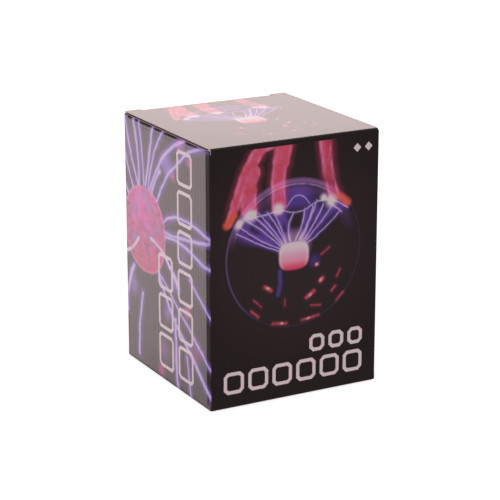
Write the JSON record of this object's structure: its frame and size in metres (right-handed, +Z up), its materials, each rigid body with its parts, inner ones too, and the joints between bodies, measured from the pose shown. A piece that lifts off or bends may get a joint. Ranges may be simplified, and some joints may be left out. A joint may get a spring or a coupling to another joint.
{
  "type": "boxed plasma ball",
  "caption": "Closed printed carton with a hinged tuck lid, dust flaps and a card insert, holding a glass globe plasma lamp on a flared base.",
  "frame": {"origin": "centre of the carton's underside", "axes": "+Z up, the printed front panel faces -Y, the left panel faces -X"},
  "size_m": [0.11, 0.11, 0.1535],
  "materials": {
    "printed_card": "dark printed outer liner under glossy film, microflute board",
    "lined_card": "uncoated pale liner, microflute board",
    "kraft_card": "brown kraft microflute board",
    "globe_glass": "clear blown glass",
    "stem_glass": "clear drawn glass",
    "steel_wool": "dull fine wire wool",
    "lead_sleeve": "red silicone sleeve",
    "base_plastic": "moulded black plastic, satin",
    "trim_silver": "silver-coated plastic",
    "black_rubber": "soft black rubber",
    "white_silicone": "cured white silicone",
    "screw_steel": "zinc-plated steel",
    "solder_mask": "green solder mask on glass-fibre board",
    "ferrite": "ground dark ferrite",
    "winding_tape": "yellow polyester tape over the winding",
    "heatsink_metal": "extruded, as cut",
    "component_black": "moulded black epoxy or nylon",
    "capacitor_sleeve": "dark blue shrink sleeve",
    "resistor_body": "tan lacquered body",
    "plated_shell": "bright plated sheet steel",
    "knob_plastic": "matte black"
  },
  "bodies": {
    "carton": {"front_panel": "printed_card", "back_panel": "printed_card", "left_panel": "printed_card", "right_panel": "printed_card", "glue_flap": "lined_card", "bottom_flap_front": "printed_card", "bottom_flap_back": "printed_card", "bottom_flap_left": "lined_card", "bottom_flap_right": "lined_card", "insert_platform": "kraft_card", "insert_leg_front": "kraft_card", "insert_leg_back": "kraft_card", "insert_leg_left": "kraft_card", "insert_leg_right": "kraft_card", "bottom_pad": "kraft_card"},
    "lid": {"lid_panel": "printed_card"},
    "tuck": {"tuck_flap": "printed_card"},
    "dust_left": {"dust_flap_left": "lined_card"},
    "dust_right": {"dust_flap_right": "lined_card"},
    "plasma_ball": {"glass_globe": "globe_glass", "electrode_stem": "stem_glass", "electrode_wool": "steel_wool", "electrode_lead": "lead_sleeve", "exhaust_tip": "stem_glass", "globe_gasket": "black_rubber", "neck_sealant": "white_silicone", "trim_ring": "trim_silver", "base_housing": "base_plastic", "base_cover": "base_plastic", "cover_screws": "screw_steel", "rubber_feet": "black_rubber", "circuit_board": "solder_mask", "board_screws": "screw_steel", "transformer_core": "ferrite", "transformer_winding": "winding_tape", "heatsink": "heatsink_metal", "power_transistor": "component_black", "electrolytic_capacitors": "capacitor_sleeve", "resistors": "resistor_body", "usb_shell": "plated_shell", "usb_tongue": "component_black", "switch_body": "component_black"},
    "power_switch": {"switch_slider": "knob_plastic"}
  },
  "joints": [
    {"name": "lid_hinge", "type": "hinge", "parent": "carton", "child": "lid", "pos_m": [0, -0.0535, 0.152], "axis": [1, 0, 0], "range_deg": [0, 175]},
    {"name": "tuck_hinge", "type": "hinge", "parent": "lid", "child": "tuck", "pos_m": [0, 0.0518, 0.152], "axis": [1, 0, 0], "range_deg": [0, 88]},
    {"name": "dust_left_hinge", "type": "hinge", "parent": "carton", "child": "dust_left", "pos_m": [-0.0535, 0, 0.1503], "axis": [0, -1, 0], "range_deg": [0, 175]},
    {"name": "dust_right_hinge", "type": "hinge", "parent": "carton", "child": "dust_right", "pos_m": [0.0535, 0, 0.1503], "axis": [0, 1, 0], "range_deg": [0, 175]},
    {"name": "ball_lift", "type": "slide", "parent": "carton", "child": "plasma_ball", "axis": [0, 0, 1], "range_m": [0, 0.151]},
    {"name": "switch_slide", "type": "slide", "parent": "plasma_ball", "child": "power_switch", "axis": [1, 0, 0], "range_m": [0, 0.004]}
  ],
  "couplings": [
    {"joint": "tuck_hinge", "follows": "lid_hinge", "ratio": 0.5},
    {"joint": "dust_left_hinge", "follows": "lid_hinge", "ratio": 1},
    {"joint": "dust_right_hinge", "follows": "lid_hinge", "ratio": 1},
    {"joint": "ball_lift", "follows": "lid_hinge", "m_per_rad": 0.0494}
  ]
}
